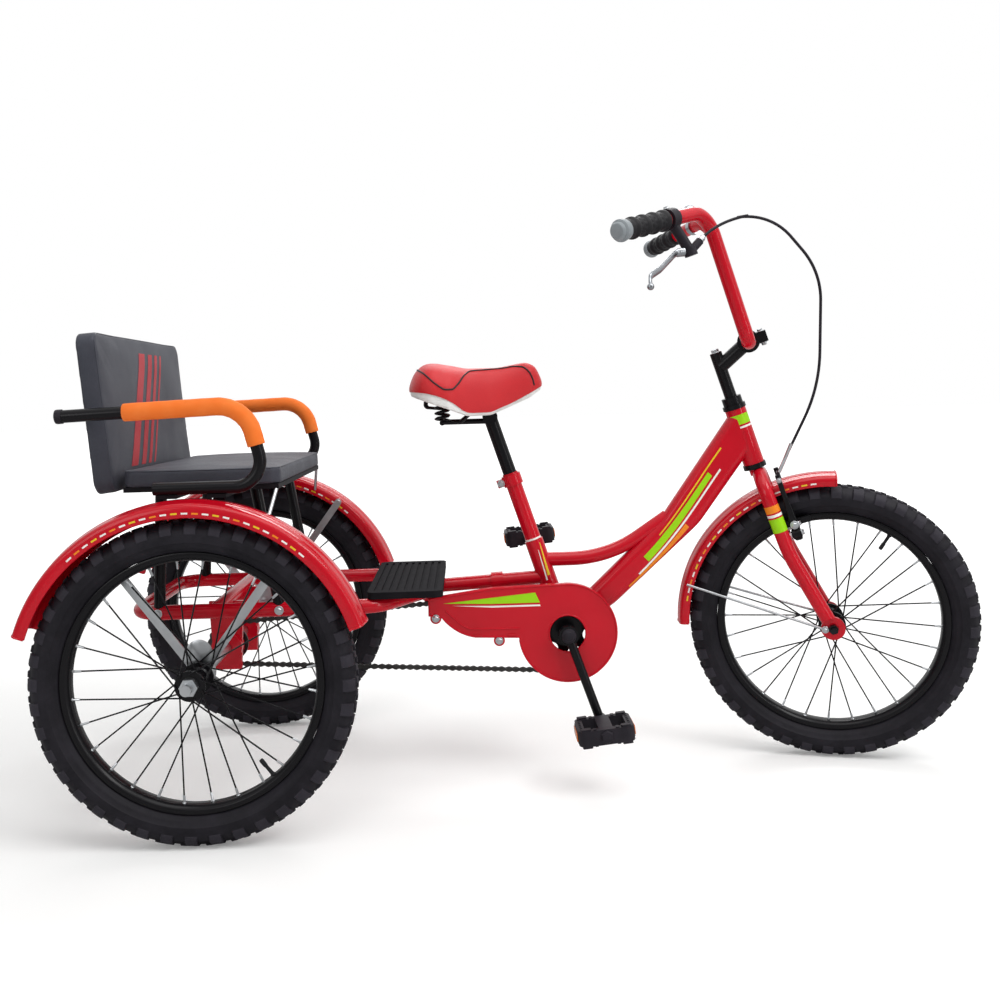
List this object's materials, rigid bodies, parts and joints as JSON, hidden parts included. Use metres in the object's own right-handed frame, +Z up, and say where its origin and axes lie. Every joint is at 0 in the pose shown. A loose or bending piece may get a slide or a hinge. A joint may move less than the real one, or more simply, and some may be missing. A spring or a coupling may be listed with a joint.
{
  "type": "passenger tricycle",
  "caption": "Pedal tricycle with a rear passenger bench between two mudguarded wheels, a spring saddle, high handlebar, chain drive and front rim brake.",
  "frame": {"origin": "on the ground under the middle of the whole tricycle", "axes": "+X forward, +Y to the rider's left, +Z up"},
  "size_m": [1.6166, 0.708, 1.0487],
  "materials": {
    "red_paint": "gloss enamel over steel tube",
    "black_paint": "satin black enamel",
    "bright_steel": "bright zinc or chrome plate",
    "dark_steel": "oiled dark steel",
    "tyre_rubber": "moulded rubber",
    "black_plastic": "moulded, fine grain",
    "grip_rubber": "moulded rubber",
    "white_plastic": "moulded",
    "red_vinyl": "grained vinyl over foam",
    "grey_vinyl": "grained vinyl over foam",
    "orange_foam": "closed foam sleeve"
  },
  "bodies": {
    "frame": {"head_tube": "red_paint", "bottom_bracket": "red_paint", "seat_tube": "red_paint", "seat_post": "black_paint", "main_tube": "red_paint", "top_tube": "red_paint", "centre_tube": "red_paint", "lower_stay": "red_paint", "right_rail": "red_paint", "left_rail": "red_paint", "rear_tube": "red_paint", "axle_carriers": "red_paint", "right_mudguard": "red_paint", "left_mudguard": "red_paint", "rear_guard_stays": "bright_steel", "seat_pan": "black_paint", "seat_cushion": "grey_vinyl", "seat_back": "grey_vinyl", "seat_legs": "black_paint", "back_crossbar": "black_paint", "right_arm": "black_paint", "left_arm": "black_paint", "arm_sleeves": "orange_foam", "footrest": "black_plastic", "chain": "dark_steel", "chain_case": "red_paint", "saddle_cover": "red_vinyl", "saddle_base": "white_plastic"},
    "steering": {"fork": "red_paint", "front_axle": "bright_steel", "headset": "black_paint", "handlebar": "red_paint", "stem": "black_paint", "grips": "grip_rubber", "brake_bracket": "black_plastic", "brake_blade": "bright_steel", "bell": "bright_steel", "brake_arms": "black_paint", "brake_cable": "black_plastic", "front_mudguard": "red_paint", "front_guard_stays": "bright_steel"},
    "front_wheel": {"front_tyre": "tyre_rubber", "front_rim": "black_paint", "front_spokes": "black_paint", "front_hub": "black_paint"},
    "rear_right_wheel": {"rear_right_tyre": "tyre_rubber", "rear_right_rim": "black_paint", "rear_right_spokes": "black_paint", "rear_right_hub": "black_paint", "rear_axle": "bright_steel"},
    "rear_left_wheel": {"rear_left_tyre": "tyre_rubber", "rear_left_rim": "black_paint", "rear_left_spokes": "black_paint", "rear_left_hub": "black_paint"},
    "crankset": {"cranks": "black_paint", "chainring": "black_paint"},
    "right_pedal": {"right_pedal": "black_plastic"},
    "left_pedal": {"left_pedal": "black_plastic"},
    "freewheel": {"sprocket": "dark_steel"}
  },
  "joints": [
    {"name": "steering_turn", "type": "hinge", "parent": "frame", "child": "steering", "pos_m": [0.52465, 0, 0.24345], "axis": [-0.309, 0, 0.9511], "range_deg": [-24.5, 55.5]},
    {"name": "front_wheel_spin", "type": "hinge", "parent": "steering", "child": "front_wheel", "pos_m": [0.55948, -0.01016, 0.25477], "axis": [0.2542, 0.9636, 0.0826], "continuous": true},
    {"name": "rear_right_wheel_spin", "type": "hinge", "parent": "frame", "child": "rear_right_wheel", "pos_m": [-0.53721, -0.3, 0.25459], "axis": [0, 1, 0], "continuous": true},
    {"name": "rear_left_wheel_spin", "type": "hinge", "parent": "frame", "child": "rear_left_wheel", "pos_m": [-0.53721, 0.3, 0.25459], "axis": [0, 1, 0], "continuous": true},
    {"name": "crank_spin", "type": "hinge", "parent": "frame", "child": "crankset", "pos_m": [0.06679, 0, 0.259], "axis": [0, 1, 0], "continuous": true},
    {"name": "right_pedal_spin", "type": "hinge", "parent": "crankset", "child": "right_pedal", "pos_m": [0.11823, -0.149, 0.10961], "axis": [0, 1, 0], "continuous": true},
    {"name": "left_pedal_spin", "type": "hinge", "parent": "crankset", "child": "left_pedal", "pos_m": [0.01535, 0.149, 0.40839], "axis": [0, 1, 0], "continuous": true},
    {"name": "freewheel_spin", "type": "hinge", "parent": "frame", "child": "freewheel", "pos_m": [-0.53721, -0.045, 0.25459], "axis": [0, 1, 0], "continuous": true}
  ],
  "couplings": [
    {"joint": "freewheel_spin", "follows": "crank_spin", "ratio": 2}
  ]
}
